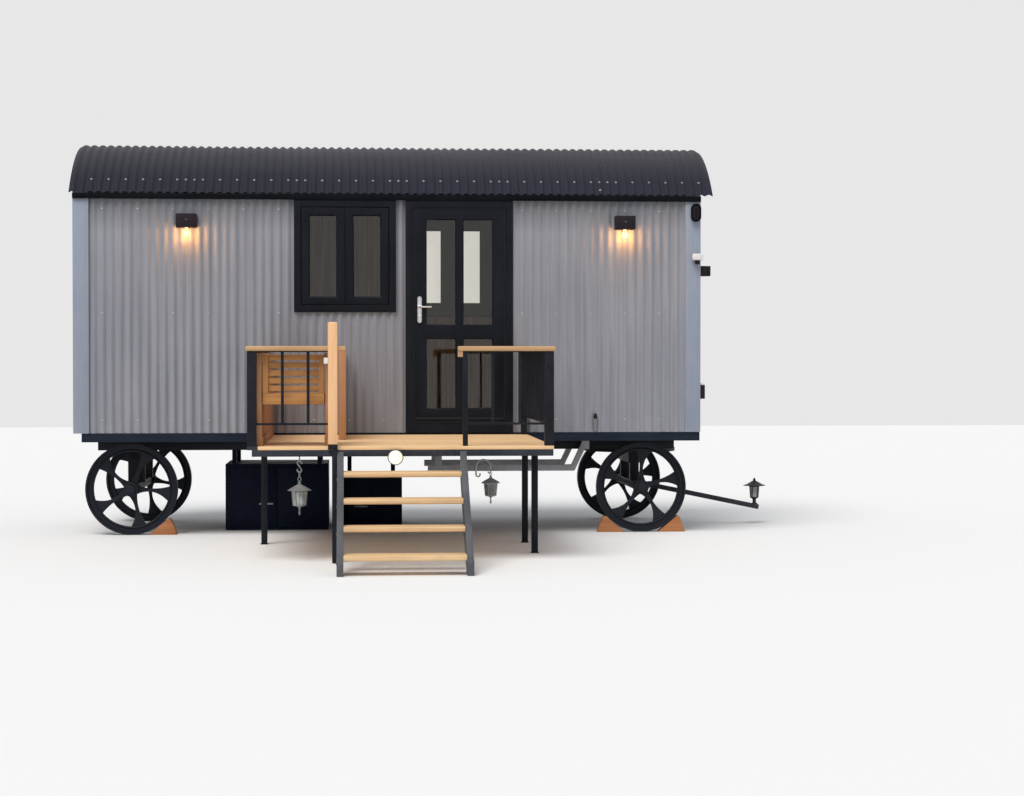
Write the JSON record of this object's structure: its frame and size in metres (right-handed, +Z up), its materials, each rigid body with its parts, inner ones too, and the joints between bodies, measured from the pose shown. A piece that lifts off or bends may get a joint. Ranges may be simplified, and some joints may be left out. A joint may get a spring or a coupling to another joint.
{
  "type": "shepherds hut",
  "caption": "Barrel-roofed timber hut on iron wheels, with profiled sheet walls, glazed door, double window, raised railed deck, open stair, seat, lanterns and a steered fore carriage.",
  "frame": {"origin": "middle of the object's outline on the floor it stands on", "axes": "+X along the hut towards the drawbar, +Y from the deck towards the hut's back wall, +Z up"},
  "size_m": [6.333, 5.625, 3.5078],
  "materials": {
    "cladding_grey": "satin, profiled sheet with slight weathering",
    "trim_blue_grey": "painted, satin",
    "roof_black": "satin, profiled sheet",
    "frame_anthracite": "painted, satin",
    "window_glass": "clear, closed panes",
    "steel_black": "satin, lightly scuffed",
    "wheel_iron": "painted black, worn rim",
    "timber_deck": "oiled, warm brown",
    "timber_light": "oiled, pale",
    "interior_wood": "planed, clear",
    "handle_steel": "polished",
    "lamp_black": "satin",
    "bulb_warm": "frosted, lit",
    "lantern_metal": "galvanised, dull",
    "carriage_grey": "satin",
    "box_navy": "matte"
  },
  "bodies": {
    "hut": {"floor_frame": "steel_black", "floor_panel": "interior_wood", "front_wall_left": "interior_wood", "front_wall_right": "interior_wood", "wall_over_door": "interior_wood", "back_wall": "interior_wood", "end_walls": "interior_wood", "corner_boards": "trim_blue_grey", "wall_cladding": "cladding_grey", "roof_boards": "interior_wood", "roof_sheet": "roof_black", "eave_fascias": "roof_black", "window_frames": "frame_anthracite", "window_sashes": "frame_anthracite", "window_glass": "window_glass", "door_frame": "frame_anthracite", "wall_light_shades": "lamp_black", "wall_light_bulbs": "bulb_warm", "corner_fittings": "lamp_black", "chassis_rails": "steel_black", "rear_axle": "steel_black", "drop_braces": "carriage_grey", "turntable_plate": "carriage_grey", "rear_chock": "timber_deck", "underfloor_boxes": "box_navy", "deck_frame": "steel_black", "deck_legs": "steel_black", "deck_boards": "timber_deck", "front_balustrades": "steel_black", "side_balustrades": "steel_black", "handrails": "timber_deck", "marker_post": "timber_light", "seat_panels": "timber_deck", "seat": "timber_light", "stair_stringers": "steel_black", "stair_treads": "timber_deck", "hanging_lanterns": "lantern_metal", "step_light": "bulb_warm"},
    "door": {"door_leaf": "frame_anthracite", "door_glass": "window_glass", "door_handle_plates": "handle_steel"},
    "lever": {"door_lever": "handle_steel"},
    "fore_carriage": {"fore_carriage": "carriage_grey", "lead_chocks": "timber_deck"},
    "drawbar": {"drawbar": "steel_black", "drawbar_lantern": "lantern_metal"},
    "rear_wheel_near": {"rear_wheel_near": "wheel_iron"},
    "rear_wheel_far": {"rear_wheel_far": "wheel_iron"},
    "lead_wheel_near": {"lead_wheel_near": "wheel_iron"},
    "lead_wheel_far": {"lead_wheel_far": "wheel_iron"}
  },
  "joints": [
    {"name": "door_hinge", "type": "hinge", "parent": "hut", "child": "door", "pos_m": [0.626, 0.6868, 1.944], "axis": [0, 0, -1], "range_deg": [0, 100]},
    {"name": "lever_turn", "type": "hinge", "parent": "door", "child": "lever", "pos_m": [-0.1295, 0.6475, 2.01], "axis": [0, 1, 0], "range_deg": [0, 35], "stiffness_Nm_per_rad": 1, "springref_deg": -28.65},
    {"name": "steering", "type": "hinge", "parent": "hut", "child": "fore_carriage", "pos_m": [1.8715, 1.6975, 0.7], "axis": [0, 0, 1], "range_deg": [-25, 25]},
    {"name": "drawbar_lift", "type": "hinge", "parent": "fore_carriage", "child": "drawbar", "pos_m": [1.9735, 1.6975, 0.392], "axis": [0, -1, 0], "range_deg": [0, 40]},
    {"name": "rear_wheel_near_spin", "type": "hinge", "parent": "hut", "child": "rear_wheel_near", "pos_m": [-2.6645, 0.9125, 0.4035], "axis": [0, 1, 0], "continuous": true},
    {"name": "rear_wheel_far_spin", "type": "hinge", "parent": "hut", "child": "rear_wheel_far", "pos_m": [-2.6645, 2.4825, 0.4035], "axis": [0, 1, 0], "continuous": true},
    {"name": "lead_wheel_near_spin", "type": "hinge", "parent": "fore_carriage", "child": "lead_wheel_near", "pos_m": [1.8715, 0.9125, 0.4035], "axis": [0, 1, 0], "continuous": true},
    {"name": "lead_wheel_far_spin", "type": "hinge", "parent": "fore_carriage", "child": "lead_wheel_far", "pos_m": [1.8715, 2.4825, 0.4035], "axis": [0, 1, 0], "continuous": true}
  ]
}
